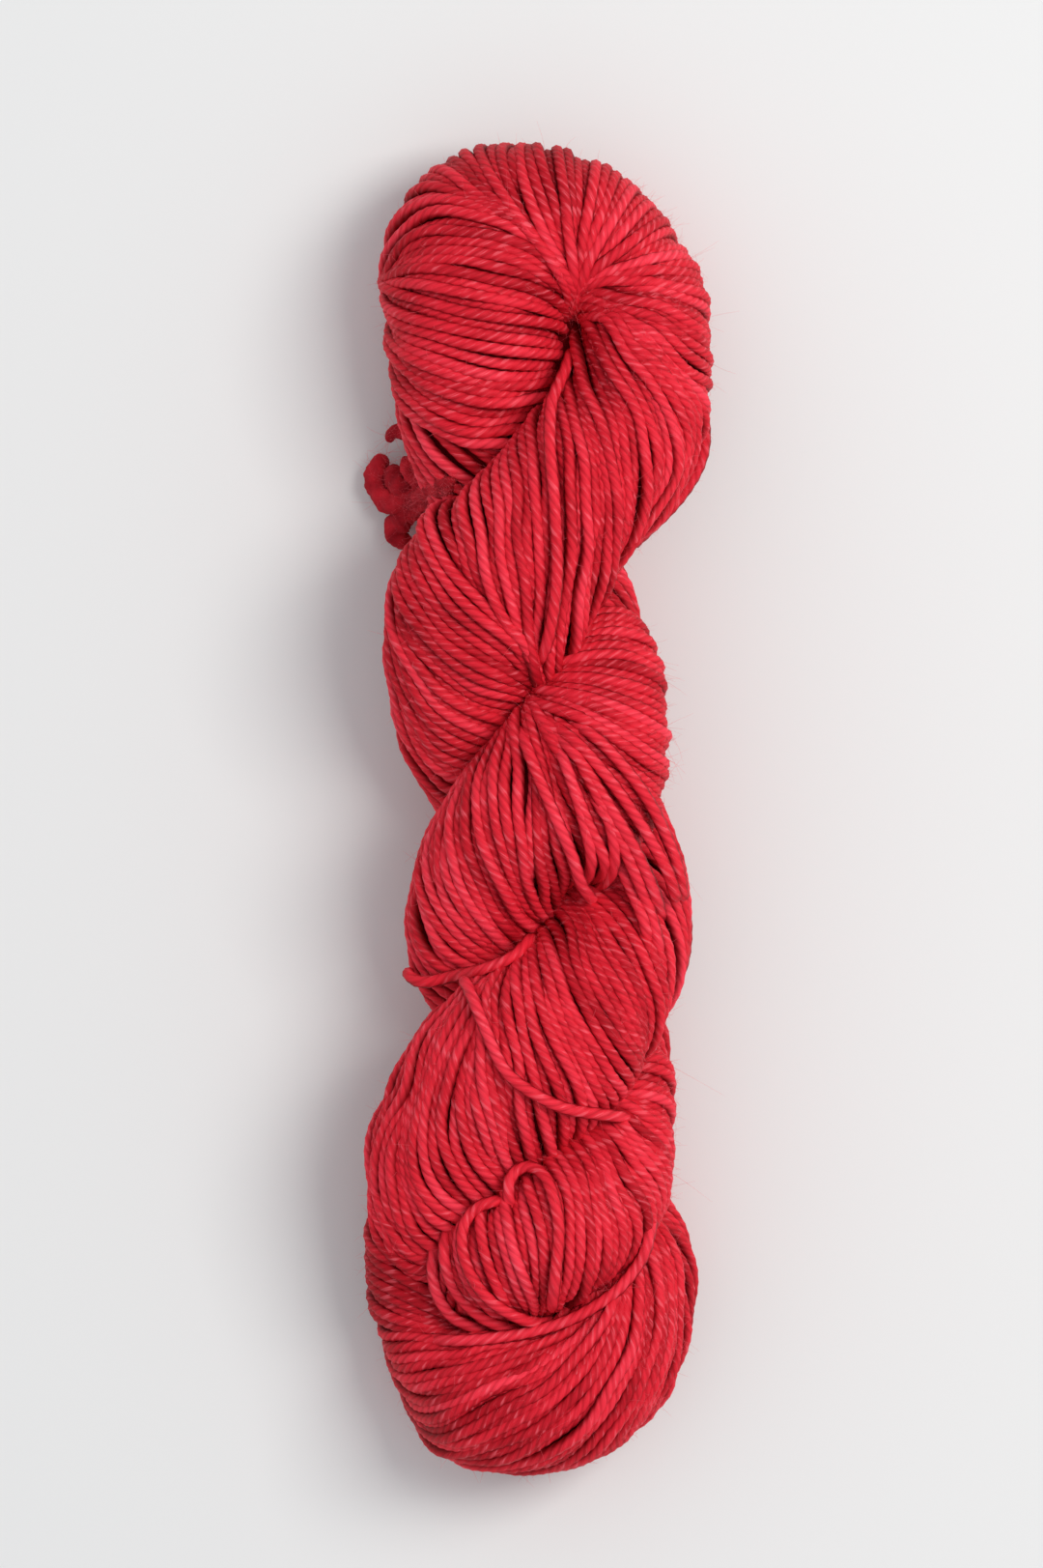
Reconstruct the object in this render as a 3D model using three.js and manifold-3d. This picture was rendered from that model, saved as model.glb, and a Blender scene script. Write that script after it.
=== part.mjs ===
// Skein of worsted yarn: one long loop of yarn, twisted into a bundle, folded in half so that
// its two halves twist round each other, and with the end of the loop tucked round the other.
// It lies on a table. Millimetres; +X across, +Y towards the folded end, +Z up; the origin is
// on the table, under the middle of the skein.
import * as THREE from "three";
import { mergeVertices } from "three/addons/utils/BufferGeometryUtils.js";
import Module from "manifold-3d";

const wasm = await Module();
wasm.setup();

// Driving dimensions
const RING_SIDES = 20;         // points round each section of the bundle
const STEPS_PER_ROW = 3;       // sections lofted between two rows of a table
const END_SHARE = 0.55;        // size of the section that closes a stretch
const END_REACH = 3;           // and how far past the stretch it lies
const SEAT_GAP = 0.3;          // clearance between the tie and the bundle
const TIE_RADIUS = 3.2;        // felted end of the tie
const TIE_SIDES = 9;
const TIE_STEPS = 9;           // steps along one end of the tie
const ROOM = 400;              // side of the block that stands for the space above the table

const YARN_RED = new THREE.MeshStandardMaterial({ color: 0xb81f2c, roughness: 0.75, metalness: 0 });
const TIE_RED = new THREE.MeshStandardMaterial({ color: 0xa51a26, roughness: 0.85, metalness: 0 });

// The bundle's middle line and its sections: a row for each place along it, with the middle of
// the section (x, y, z), half its width across the run, half its height, and its bearing, which
// is the direction in plan of the section's own width (degrees from +X).
const row = (x, y, z, halfWidth, halfHeight, bearing) => (
  { x, y, z, halfWidth, halfHeight, bearing });

// First half of the bundle, from the tucked end up to the fold, in stretches that each end
// where the next one starts.
const LAST_CROSSING = [
  row(-20.5, -107.5, 15.5, 9.0, 9.0, -30),
  row(-19.5, -101.0, 20.0, 12.0, 12.0, -42),
  row(-11.3, -95.8, 29.0, 14.0, 13.0, -48),
  row(0.7, -89.8, 33.5, 15.0, 13.5, -46),
  row(11.2, -79.8, 31.0, 15.0, 13.5, -28),
];
const UNDER_THIRD_CROSSING = [
  row(13.6, -66.8, 24.0, 14.6, 13.0, 4),
  row(10.7, -52.8, 17.0, 17.3, 13.0, 26),
  row(-0.9, -41.8, 12.4, 16.0, 13.0, 30),
  row(-9.4, -30.4, 18.5, 17.0, 13.0, 20),
  row(-10.6, -16.8, 27.5, 16.0, 13.2, -10),
];
const SECOND_CROSSING = [
  row(-4.3, -4.8, 35.0, 16.5, 13.5, -32),
  row(8.0, 5.6, 35.5, 19.3, 13.5, -34),
  row(12.3, 20.2, 33.0, 15.2, 13.5, -16),
  row(10.6, 33.2, 24.0, 13.0, 13.0, 12),
];
const UNDER_FIRST_CROSSING = [
  row(4.1, 45.2, 15.0, 13.8, 13.0, 28),
  row(-3.7, 57.2, 12.4, 15.5, 13.0, 30),
  row(-8.8, 70.2, 16.0, 16.0, 15.0, 18),
  row(-12.3, 85.2, 19.5, 17.6, 17.4, 5),
];
// The fold: the bundle goes round the dimple, so each section reaches from close to the
// dimple's middle out to the rim, in the direction that its bearing gives.
const DIMPLE = { x: 7.1, y: 100.2, radius: 1.2 };
const foldRow = (bearing, reach, z, halfHeight) => {
  const angle = THREE.MathUtils.degToRad(bearing);
  const middle = (reach + DIMPLE.radius) / 2;
  const x = DIMPLE.x + middle * Math.cos(angle);
  const y = DIMPLE.y + middle * Math.sin(angle);
  return row(x, y, z, reach - middle, halfHeight, bearing - 180);
};
const FOLD_LEFT = [
  foldRow(181, 39.2, 20.5, 18.8),
  foldRow(158, 42.2, 20.0, 19.6),
  foldRow(134, 43.4, 19.6, 19.8),
  foldRow(111, 39.7, 19.2, 19.4),
];
const FOLD_RIGHT = [
  foldRow(88, 35.4, 18.6, 18.8),
  foldRow(64, 30.8, 18.0, 18.0),
  foldRow(40, 28.2, 18.0, 17.4),
  foldRow(14, 28.2, 19.0, 17.0),
];
// Second half of the bundle, from the fold down to the tucked end.
const FIRST_CROSSING = [
  foldRow(-10, 28.9, 22.0, 16.5),
  row(19.4, 82.8, 28.0, 16.2, 14.5, -198),
  row(12.4, 70.6, 34.0, 17.8, 14.0, -210),
  row(2.0, 58.6, 36.5, 17.7, 13.5, -213),
  row(-8.0, 46.4, 35.0, 21.1, 13.5, -212),
  row(-13.2, 32.3, 31.5, 19.6, 13.5, -200),
];
const UNDER_SECOND_CROSSING = [
  row(-13.8, 18.7, 24.0, 16.4, 13.0, -176),
  row(-9.3, 7.2, 16.0, 14.2, 13.0, -150),
  row(4.2, -3.6, 13.0, 19.6, 13.0, -148),
  row(12.4, -14.8, 18.5, 17.6, 13.0, -160),
];
const THIRD_CROSSING = [
  row(15.0, -27.0, 26.0, 16.2, 13.0, -188),
  row(9.8, -38.4, 33.5, 17.6, 13.5, -210),
  row(0.2, -48.9, 36.0, 20.5, 13.5, -216),
  row(-10.1, -59.5, 33.5, 19.6, 13.5, -216),
  row(-17.2, -72.8, 28.0, 18.6, 13.5, -198),
];
const DOWN_THE_LEFT = [
  row(-19.2, -87.8, 22.0, 16.6, 14.0, -184),
  row(-19.9, -101.8, 15.5, 15.6, 14.5, -176),
  row(-16.8, -112.8, 12.5, 14.2, 12.5, -160),
  row(-6.3, -119.8, 12.5, 12.0, 11.5, -124),
  row(4.7, -116.8, 17.5, 10.0, 10.0, -84),
];
const BUNDLE = [
  LAST_CROSSING, UNDER_THIRD_CROSSING, SECOND_CROSSING, UNDER_FIRST_CROSSING, FOLD_LEFT,
  FOLD_RIGHT, FIRST_CROSSING, UNDER_SECOND_CROSSING, THIRD_CROSSING, DOWN_THE_LEFT,
];
// The end of the loop, tucked round the two halves.
const TUCKED_LOOP = [[
  row(-15.8, -64.8, 23.0, 8.0, 8.0, 226),
  row(-6.3, -68.8, 13.5, 11.0, 11.5, 222),
  row(7.2, -78.3, 12.0, 12.5, 12.3, 214),
  row(17.2, -92.0, 15.5, 13.9, 15.5, 200),
  row(16.9, -103.8, 18.0, 15.2, 18.0, 168),
  row(11.6, -114.7, 19.0, 16.6, 19.3, 140),
  row(0.4, -120.9, 19.5, 17.2, 19.8, 104),
  row(-14.1, -119.7, 18.5, 16.7, 18.8, 76),
  row(-20.6, -113.2, 16.5, 12.4, 15.0, 52),
  row(-26.0, -103.8, 15.0, 8.0, 9.0, 22),
]];
// The yarn pressed in between the two halves, along the middle of the skein.
const MIDDLE = [[
  row(0, -104, 19, 9, 8, 0),
  row(0, -80, 21, 9, 10, 0),
  row(0, -30, 20, 8, 8, 0),
  row(0, 20, 23, 8, 9, 0),
  row(0, 60, 24, 8, 10, 0),
  row(2, 84, 18, 8, 9, 0),
  row(6, 101, 15, 5, 8, 0),
]];

// The tie: the ends of the short strand that holds the loop together, felted into a knot
// beside the bundle. Each end is a list of the places that it passes.
const at = (x, y, z) => new THREE.Vector3(x, y, z);
const TIE_ENDS = [
  [at(-20, 64, 8), at(-25, 66, 6.5), at(-30, 70.5, 5), at(-31.5, 66, 4), at(-29.5, 62, 4.5), at(-32, 58.5, 3)],
  [at(-21, 61, 9), at(-26.5, 62, 8), at(-30, 58, 6), at(-28.5, 54.8, 4), at(-25, 57, 3)],
  [at(-20, 67, 7), at(-25.5, 71, 5.5), at(-29.5, 74.2, 4), at(-27.5, 77, 3)],
];

// A smooth curve through rows: the section at `place`, counted in rows from the first one.
function smoothRows(rows) {
  const through = (values) => new THREE.CatmullRomCurve3(values, false, "catmullrom");
  const middles = through(rows.map((r) => at(r.x, r.y, r.z)));
  const shapes = through(rows.map((r) => at(r.halfWidth, r.halfHeight, r.bearing)));
  return (place) => {
    const share = place / (rows.length - 1);
    const shape = shapes.getPoint(share);
    const bearing = THREE.MathUtils.degToRad(shape.z);
    return {
      middle: middles.getPoint(share),
      across: at(Math.cos(bearing), Math.sin(bearing), 0),
      halfWidth: shape.x,
      halfHeight: shape.y,
    };
  };
}

// One closed stretch of a bundle: upright elliptical sections lofted from row `first` to row
// `last`. A smaller section past each end closes it, inside the next stretch.
function loftStretch(section, first, last, grow) {
  const steps = (last - first) * STEPS_PER_ROW;
  const points = [];
  const faces = [];
  const addRing = ({ middle, across, halfWidth, halfHeight }, share, ahead) => {
    for (let side = 0; side < RING_SIDES; side += 1) {
      const turn = (2 * Math.PI * side) / RING_SIDES;
      const outward = across.clone().multiplyScalar((halfWidth + grow) * Math.cos(turn));
      outward.z += (halfHeight + grow) * Math.sin(turn);
      const shift = at(-across.y, across.x, 0).multiplyScalar(ahead);
      points.push(middle.clone().addScaledVector(outward, share).add(shift));
    }
  };
  addRing(section(first), END_SHARE, -END_REACH);
  for (let step = 0; step <= steps; step += 1) addRing(section(first + step / STEPS_PER_ROW), 1, 0);
  addRing(section(last), END_SHARE, END_REACH);

  const rings = steps + 3;
  const ringPoint = (ring, side) => ring * RING_SIDES + (side % RING_SIDES);
  for (let ring = 0; ring < rings - 1; ring += 1) {
    for (let side = 0; side < RING_SIDES; side += 1) {
      const [a, b] = [ringPoint(ring, side), ringPoint(ring, side + 1)];
      const [c, d] = [ringPoint(ring + 1, side + 1), ringPoint(ring + 1, side)];
      faces.push(a, c, b, a, d, c);
    }
  }
  for (let side = 1; side < RING_SIDES - 1; side += 1) {
    faces.push(ringPoint(0, 0), ringPoint(0, side), ringPoint(0, side + 1));
    faces.push(ringPoint(rings - 1, 0), ringPoint(rings - 1, side + 1), ringPoint(rings - 1, side));
  }
  const geometry = new THREE.BufferGeometry().setFromPoints(points);
  geometry.setIndex(faces);
  return geometry;
}

function toSolid(geometry) {
  geometry.deleteAttribute("normal");
  geometry.deleteAttribute("uv");
  const merged = mergeVertices(geometry, 1e-4);
  return new wasm.Manifold(new wasm.Mesh({
    numProp: 3,
    vertProperties: merged.attributes.position.array,
    triVerts: new Uint32Array(merged.index.array),
  }));
}

function toGeometry(solid) {
  const { vertProperties, triVerts } = solid.getMesh();
  const geometry = new THREE.BufferGeometry();
  geometry.setAttribute("position", new THREE.BufferAttribute(vertProperties, 3));
  geometry.setIndex(new THREE.BufferAttribute(triVerts, 1));
  const facets = geometry.toNonIndexed();
  facets.computeVertexNormals();
  return facets;
}

const unite = (solids) => solids.reduce((whole, next) => whole.add(next));

// A bundle as one solid: its stretches, each closed, end on to the next and joined.
function bundleSolid(stretches, grow = 0) {
  const rows = stretches.flat();
  const section = smoothRows(rows);
  const solids = [];
  let first = 0;
  for (const stretch of stretches) {
    const last = Math.min(first + stretch.length, rows.length - 1);
    solids.push(toSolid(loftStretch(section, first, last, grow)));
    first = last;
  }
  return unite(solids);
}

// What lies above the table, so that the yarn is flat where it rests.
function aboveTable() {
  return toSolid(new THREE.BoxGeometry(ROOM, ROOM, ROOM).translate(0, 0, ROOM / 2));
}

function hankSolid(grow = 0) {
  return unite([BUNDLE, TUCKED_LOOP, MIDDLE].map((stretches) => bundleSolid(stretches, grow)));
}

function tieSolid() {
  const felted = TIE_ENDS.map((places) => {
    const outline = new THREE.Shape().absarc(0, 0, TIE_RADIUS, 0, 2 * Math.PI);
    return toSolid(new THREE.ExtrudeGeometry(outline, {
      extrudePath: new THREE.CatmullRomCurve3(places),
      steps: TIE_STEPS,
      curveSegments: TIE_SIDES,
    }));
  });
  return unite(felted).subtract(hankSolid(SEAT_GAP));
}

function piece(name, solid, material) {
  const mesh = new THREE.Mesh(toGeometry(solid), material);
  mesh.name = name;
  return mesh;
}

const skein = new THREE.Group();
skein.add(piece("hank", hankSolid().intersect(aboveTable()), YARN_RED));
skein.add(piece("tie_knot", tieSolid().intersect(aboveTable()), TIE_RED));

const footprint = new THREE.Box3().setFromObject(skein).getCenter(at(0, 0, 0));
skein.position.set(-footprint.x, -footprint.y, 0);
export default skein;
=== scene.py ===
"""A twisted skein of hand-dyed four-ply yarn, lying flat on a pale surface and seen from above.

The tables are in millimetres and the meshes in metres: x to the right, y along the skein, z up.
"""

import bpy
import numpy as np
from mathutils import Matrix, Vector


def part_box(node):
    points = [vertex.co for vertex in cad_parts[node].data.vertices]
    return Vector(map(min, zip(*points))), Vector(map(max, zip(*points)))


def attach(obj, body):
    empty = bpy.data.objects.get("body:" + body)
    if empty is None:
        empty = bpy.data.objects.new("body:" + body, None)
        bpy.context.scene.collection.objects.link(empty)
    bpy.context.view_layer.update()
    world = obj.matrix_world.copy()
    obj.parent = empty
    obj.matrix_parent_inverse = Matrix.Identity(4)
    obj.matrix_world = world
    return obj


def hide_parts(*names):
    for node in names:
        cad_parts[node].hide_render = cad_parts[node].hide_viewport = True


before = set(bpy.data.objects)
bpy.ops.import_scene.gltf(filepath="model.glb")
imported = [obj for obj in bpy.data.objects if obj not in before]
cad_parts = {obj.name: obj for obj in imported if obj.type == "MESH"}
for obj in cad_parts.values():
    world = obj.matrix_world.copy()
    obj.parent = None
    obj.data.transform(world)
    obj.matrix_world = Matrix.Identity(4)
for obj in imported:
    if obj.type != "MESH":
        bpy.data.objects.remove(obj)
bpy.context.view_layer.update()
hank_low, hank_high = np.array(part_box("hank"))


# The pale surface under the skein, the soft window light that falls on it from the right,
# and the camera straight above with its top edge towards the fold.
FRAME_HEIGHT = 0.3246  # metres of the surface that the photo shows at the skein's own scale
CAMERA_HEIGHT = 3.0
OUTLINE_HEIGHT = 0.02  # of the skein's widest line, where the scale holds
CAMERA_PLACE = (-0.0034, 0.0051)
SENSOR = 36.0
FLOOR_REACH = 4.0
WINDOW_PLACE = (0.75, 0.32, 1.25)
WINDOW_SIZE = 0.55, 0.9


def add_object(name, data):
    """A new object in the scene, from a mesh, a lamp or a camera."""
    thing = bpy.data.objects.new(name, data)
    bpy.context.collection.objects.link(thing)
    return thing


def set_values(node, values):
    """Sets the inputs of a node to the values that stand under their names."""
    for label, value in values.items():
        node.inputs[label].default_value = value


def new_material(name, roughness, specular, more):
    """A new material of that roughness and specular level, with more values under their names."""
    material = bpy.data.materials.new(name)
    material.use_nodes = True
    values = {"Roughness": roughness, "Specular IOR Level": specular, **more}
    set_values(material.node_tree.nodes["Principled BSDF"], values)
    return material


floor_mesh = bpy.data.meshes.new("floor")
corner = np.array([[-1, -1, 0], [1, -1, 0], [1, 1, 0], [-1, 1, 0]]) * FLOOR_REACH
floor_mesh.from_pydata(corner, [], [(0, 1, 2, 3)])
floor = add_object("floor", floor_mesh)
pale = new_material("pale_surface", 0.9, 0.2, {"Base Color": (0.80, 0.795, 0.785, 1)})
floor_mesh.materials.append(pale)

window = bpy.data.lights.new("window", "AREA")
window.shape = "RECTANGLE"
window.size, window.size_y = WINDOW_SIZE
window.energy = 12.5
window.color = (1.0, 0.985, 0.96)
window_lamp = add_object("window", window)
window_lamp.location = WINDOW_PLACE
window_lamp.rotation_euler = (-Vector(WINDOW_PLACE)).to_track_quat("-Z", "Y").to_euler()

world = bpy.data.worlds.new("room")
world.use_nodes = True
set_values(world.node_tree.nodes["Background"], {"Color": (0.93, 0.96, 1.0, 1), "Strength": 0.66})
bpy.context.scene.world = world
bpy.context.scene.view_settings.view_transform = "Standard"

lens = bpy.data.cameras.new("camera")
lens.sensor_fit = "VERTICAL"
lens.sensor_height = SENSOR
lens.lens = SENSOR * (CAMERA_HEIGHT - OUTLINE_HEIGHT) / FRAME_HEIGHT
lens.clip_end = 20
camera = add_object("camera", lens)
camera.location = (*CAMERA_PLACE, CAMERA_HEIGHT)
bpy.context.scene.camera = camera


# The core of the wound yarn: the inner turns of both halves of the twisted loop and of its end,
# which is tucked back between them. It shows only in the gaps between strands, where its near-black red
# is painted shade.
DIMPLE = 7.1, 100.2  # in the middle of the fold
DIMPLE_RADIUS = 0.4


def fold_row(bearing, reach, height, half_height):
    """A row of the fold: the section that goes from the dimple's edge out to that reach from its
    middle, in the direction of the bearing."""
    middle = (reach + DIMPLE_RADIUS) / 2
    x = DIMPLE[0] + middle * np.cos(np.radians(bearing))
    y = DIMPLE[1] + middle * np.sin(np.radians(bearing))
    return x, y, height, reach - middle, half_height, bearing - 180


# Each row is a section: middle x, y and z, half width, half height and the bearing of its width.
BUNDLE = np.array([
    # last crossing, at the lower end, where the first half rises out of the tucked loop
    (-20.5, -107.5, 15.5, 9, 9, -30),
    (-19.5, -101, 20, 12, 12, -42),
    (-11.3, -95.8, 29, 14, 13, -48),
    (0.7, -89.8, 33.5, 15, 13.5, -46),
    (11.2, -79.8, 31, 15, 13.5, -28),
    # under the third crossing
    (13.6, -66.8, 24, 14.6, 13, 4),
    (10.7, -52.8, 17, 17.3, 13, 26),
    (-0.9, -41.8, 12.4, 16, 13, 30),
    (-9.4, -30.4, 18.5, 17, 13, 20),
    (-10.6, -16.8, 27.5, 16, 13.2, -10),
    # over at the second crossing
    (-4.3, -4.8, 35, 16.5, 13.5, -32),
    (8, 5.6, 35.5, 19.3, 13.5, -34),
    (12.3, 20.2, 33, 15.2, 13.5, -16),
    (10.6, 33.2, 24, 13, 13, 12),
    # under the first crossing
    (4.1, 45.2, 15, 13.8, 13, 28),
    (-3.7, 57.2, 12.4, 15.5, 13, 30),
    (-8.8, 70.2, 16, 16, 15, 18),
    (-12.3, 85.2, 19.5, 17.6, 17.4, 5),
    # round the fold, its sections fanned about the dimple
    fold_row(181, 39.2, 20.5, 18.8),
    fold_row(158, 42.2, 20, 19.6),
    fold_row(134, 43.4, 19.6, 19.8),
    fold_row(111, 39.7, 19.2, 19.4),
    fold_row(88, 35.4, 18.6, 18.8),
    fold_row(64, 30.8, 18, 18),
    fold_row(40, 28.2, 18, 17.4),
    fold_row(14, 28.2, 19, 17),
    fold_row(-10, 28.9, 22, 16.5),
    # over at the first crossing
    (19.4, 82.8, 28, 16.2, 14.5, -198),
    (12.4, 70.6, 34, 17.8, 14, -210),
    (2, 58.6, 36.5, 17.7, 13.5, -213),
    (-8, 46.4, 35, 21.1, 13.5, -212),
    (-13.2, 32.3, 31.5, 19.6, 13.5, -200),
    # under the second crossing
    (-13.8, 18.7, 24, 16.4, 13, -176),
    (-9.3, 7.2, 16, 14.2, 13, -150),
    (4.2, -3.6, 13, 19.6, 13, -148),
    (12.4, -14.8, 18.5, 17.6, 13, -160),
    # over at the third crossing
    (15, -27, 26, 16.2, 13, -188),
    (9.8, -38.4, 33.5, 17.6, 13.5, -210),
    (0.2, -48.9, 36, 20.5, 13.5, -216),
    (-10.1, -59.5, 33.5, 19.6, 13.5, -216),
    (-17.2, -72.8, 28, 18.6, 13.5, -198),
    # down the left side and into the tucked loop
    (-19.2, -87.8, 22, 16.6, 14, -184),
    (-19.9, -101.8, 15.5, 15.6, 14.5, -176),
    (-16.8, -112.8, 12.5, 14.2, 12.5, -160),
    (-6.3, -119.8, 12.5, 12, 11.5, -124),
    (4.7, -116.8, 17.5, 10, 10, -84),
])
TUCKED_LOOP = np.array([
    (-15.8, -64.8, 23, 8, 8, 226),
    (-6.3, -68.8, 13.5, 11, 11.5, 222),
    (7.2, -78.3, 12, 12.5, 12.3, 214),
    (17.2, -92, 15.5, 13.9, 15.5, 200),
    (16.9, -103.8, 18, 15.2, 18, 168),
    (11.6, -114.7, 19, 16.6, 19.3, 140),
    (0.4, -120.9, 19.5, 17.2, 19.8, 104),
    (-14.1, -119.7, 18.5, 16.7, 18.8, 76),
    (-20.6, -113.2, 16.5, 12.4, 15, 52),
    (-26, -103.8, 15, 8, 9, 22),
])
BETWEEN = np.array([  # yarn pressed into the middle, between the two halves
    (0, -104, 19, 9, 8, 0),
    (0, -80, 21, 9, 10, 0),
    (0, -30, 20, 8, 8, 0),
    (0, 20, 23, 8, 9, 0),
    (0, 60, 24, 8, 10, 0),
    (2, 84, 18, 8, 9, 0),
    (6, 101, 15, 7, 8, 0),
])
MM = 0.001
STRAND_RADIUS = 1.3
CORE_DEPTH = 3.1  # of the core's skin under the skein's own
CORE_CLEARANCE = 1.5  # over the surface
CORE_SIDES = 28
CORE_RINGS_PER_ROW = 4
# near-black red: painted shade for the gaps between the strands
CORE_SHADE_RED = (0.16, 0.003, 0.006, 1)


def smooth_rows(rows, place):
    """Rows of a table at places between them: the cubic through two rows whose slope at each is
    half the step between the rows on either side of it. A row past each end goes straight on."""
    rows = np.vstack([2 * rows[0] - rows[1], rows, 2 * rows[-1] - rows[-2]])
    start = np.clip(np.floor(place).astype(int), 0, len(rows) - 4)
    t = (place - start)[..., None]
    before, here, there, after = (rows[start + step] for step in range(4))
    bend = 2 * before - 5 * here + 4 * there - after
    swing = 3 * (here - there) + after - before
    return here + (t * (there - before) + t**2 * bend + t**3 * swing) / 2


def on_bundle(rows, place, turn, lift=0.0):
    """A point of a bundle's skin: the smoothed row's middle, plus (half width + lift) times the
    cosine of turn along its bearing, plus (half height + lift) times the sine of turn upwards."""
    row = smooth_rows(rows, place)
    bearing = np.radians(row[..., 5])
    across = (row[..., 3] + lift) * np.cos(turn)
    upwards = (row[..., 4] + lift) * np.sin(turn)
    flat = across[..., None] * np.stack([np.cos(bearing), np.sin(bearing)], -1)
    return np.concatenate([row[..., :2] + flat, (row[..., 2] + upwards)[..., None]], -1)


def tube_triangles(rings, sides):
    """Triangles of a closed tube of rings by sides, as corners (ring, side): two for each quad,
    split along the tube, and a fan over each end. Side number sides is side 0 again."""
    grid = np.meshgrid(np.arange(rings - 1), np.arange(sides), indexing="ij")
    ring, side = grid[0].ravel(), grid[1].ravel()
    one_half = [ring, side, ring, side + 1, ring + 1, side + 1]
    other_half = [ring, side, ring + 1, side + 1, ring + 1, side]
    quads = np.stack(one_half + other_half, 1)
    spoke = np.arange(1, sides - 1)
    nought = np.zeros_like(spoke)
    first = np.stack([nought, nought, nought, spoke + 1, nought, spoke], 1)
    last = np.stack([nought, nought, nought, spoke, nought, spoke + 1], 1)
    last[:, ::2] += rings - 1
    return np.vstack([quads.reshape(-1, 3, 2), first.reshape(-1, 3, 2), last.reshape(-1, 3, 2)])


def add_piece(name, points, triangles, material, node, values=None, uv=None):
    """A smooth-shaded mesh piece from points in millimetres, moved as the frame's hank is placed,
    with one value for each point in each named attribute and a uv pair for each corner."""
    mesh = bpy.data.meshes.new(name)
    mesh.from_pydata((points + hank_shift) * MM, [], triangles)
    mesh.polygons.foreach_set("use_smooth", np.ones(len(triangles), bool))
    for label, value in (values or {}).items():
        mesh.attributes.new(label, "FLOAT", "POINT").data.foreach_set("value", value.astype(np.float32))
    if uv is not None:
        mesh.uv_layers.new(name="along").data.foreach_set("uv", uv.astype(np.float32).ravel())
    mesh.materials.append(material)
    piece = add_object(name, mesh)
    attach(piece, "root")
    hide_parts(node)


core_points, core_faces = [], []
skin_low, skin_high = [], []
for table, depth in ((BUNDLE, CORE_DEPTH), (TUCKED_LOOP, CORE_DEPTH), (BETWEEN, 0)):
    rings = (len(table) - 1) * CORE_RINGS_PER_ROW + 1
    way_round = np.linspace(0, 2 * np.pi, CORE_SIDES, endpoint=False)
    place, turn = np.meshgrid(np.linspace(0, len(table) - 1, rings), way_round, indexing="ij")
    skin = on_bundle(table, place, turn)
    skin_low.append(skin.min((0, 1)))
    skin_high.append(skin.max((0, 1)))
    inner = on_bundle(table, place, turn, -depth).reshape(-1, 3)
    inner[:, 2] = np.maximum(inner[:, 2], CORE_CLEARANCE)
    corners = tube_triangles(rings, CORE_SIDES)
    start = sum(map(len, core_points))
    core_points.append(inner)
    core_faces.append(corners[..., 0] * CORE_SIDES + corners[..., 1] % CORE_SIDES + start)

# The frame's own place in x and y: it centres the footprint of the skein on the origin.
hank_shift = (hank_low + hank_high) / 2 / MM - (np.min(skin_low, 0) + np.max(skin_high, 0)) / 2
hank_shift[2] = 0

# the core's material carries the painted shade of the gaps between strands
core_shade = new_material("core_shade", 1.0, 0.0, {"Base Color": CORE_SHADE_RED})
add_piece("core", np.vstack(core_points), np.vstack(core_faces), core_shade, "hank")


# The turns round the fold, over its lobe and cap, and on over the first crossing: one wool yarn
# 2.6 mm thick, of four plies laid to the left, wound side by side. Each turn runs from the dimple
# or from the crevice beside it over the bundle and round its edge to the underside.
PHOTO_MIDDLE = (556.5, 836.0)  # pixel of the part's origin
PIXEL = 0.2  # mm
# Each group is the stretch of rows that it lies on and the photo points of a few of its strands,
# followed from left round to right. The other strands lie between them.
LOBE = (14.5, 22), (
    ((505, 462), (480, 462), (450, 450), (420, 430)),
    ((540, 425), (520, 430), (490, 428), (450, 415), (420, 400), (402, 375)),
    ((572, 390), (555, 392), (520, 392), (480, 385), (440, 372), (400, 350)),
    ((585, 342), (560, 337), (520, 333), (480, 327), (440, 316), (400, 303)),
    ((582, 312), (560, 297), (520, 283), (480, 274), (440, 272), (400, 280)),
    ((583, 297), (557, 268), (520, 252), (480, 242), (440, 243), (410, 258), (398, 275)),
    ((583, 300), (560, 262), (534, 236), (496, 220), (460, 211), (434, 215), (408, 236), (396, 256)),
)
CAP = (19.5, 26.5), (
    ((586, 300), (565, 265), (540, 238), (509, 217), (480, 200), (460, 186), (442, 182)),
    ((588, 300), (568, 268), (545, 240), (515, 216), (490, 192), (477, 172), (465, 165)),
    ((590, 300), (575, 280), (555, 255), (531, 222), (510, 190), (500, 172), (494, 157)),
    ((590, 298), (565, 265), (545, 235), (534, 206), (529, 187), (526, 170), (527, 151)),
    ((592, 297), (580, 250), (570, 210), (560, 175), (552, 148)),
    ((596, 297), (598, 250), (603, 210), (605, 180), (605, 160)),
    ((600, 298), (625, 255), (645, 225), (660, 205)),
    ((603, 300), (640, 275), (670, 258), (705, 247)),
    ((603, 302), (640, 290), (680, 288), (705, 292), (727, 298)),
    ((603, 306), (640, 312), (680, 320), (710, 335), (731, 350)),
    ((605, 312), (640, 330), (675, 350), (710, 385), (735, 420)),
)
RIGHT_SHOULDER = (24, 30.5), (
    ((604, 318), (640, 345), (680, 385), (705, 420), (717, 460), (705, 500)),
    ((602, 330), (635, 365), (665, 405), (685, 450), (685, 510), (665, 550)),
    ((600, 345), (620, 385), (645, 430), (658, 480), (660, 540), (648, 590)),
)
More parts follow.
